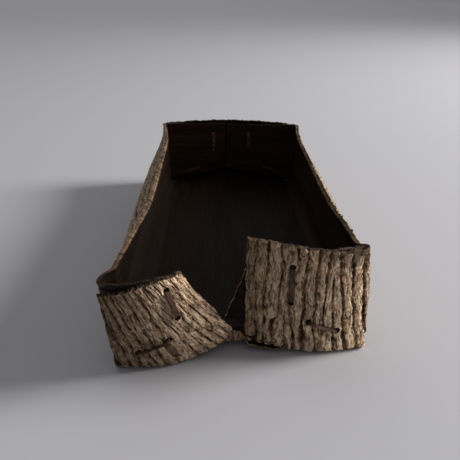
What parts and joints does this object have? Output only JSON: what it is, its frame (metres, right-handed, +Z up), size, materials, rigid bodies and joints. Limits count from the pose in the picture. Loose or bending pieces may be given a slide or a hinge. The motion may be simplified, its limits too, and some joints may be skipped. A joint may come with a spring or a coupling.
{
  "type": "bark box",
  "caption": "Long open keepsake tray folded from one sheet of walnut bark, its slit end flaps laced to inner tabs with bark thongs.",
  "frame": {"origin": "on the table plane under the middle of the box's floor", "axes": "+Y along the box from the open front end to the closed rear end, +X to the right seen from the front, +Z up"},
  "size_m": [0.2093, 0.4707, 0.099],
  "materials": {
    "bark": "rough furrowed bark outside, smooth dark inner bark",
    "thong": "matte fibrous bark strip"
  },
  "bodies": {
    "root": {"bark_sheet": "bark", "front_left_upper_thong": "thong", "front_left_lower_thong": "thong", "front_right_upper_thong": "thong", "front_right_lower_thong": "thong", "rear_left_upper_thong": "thong", "rear_left_lower_thong": "thong", "rear_right_upper_thong": "thong", "rear_right_lower_thong": "thong"}
  },
  "joints": []
}
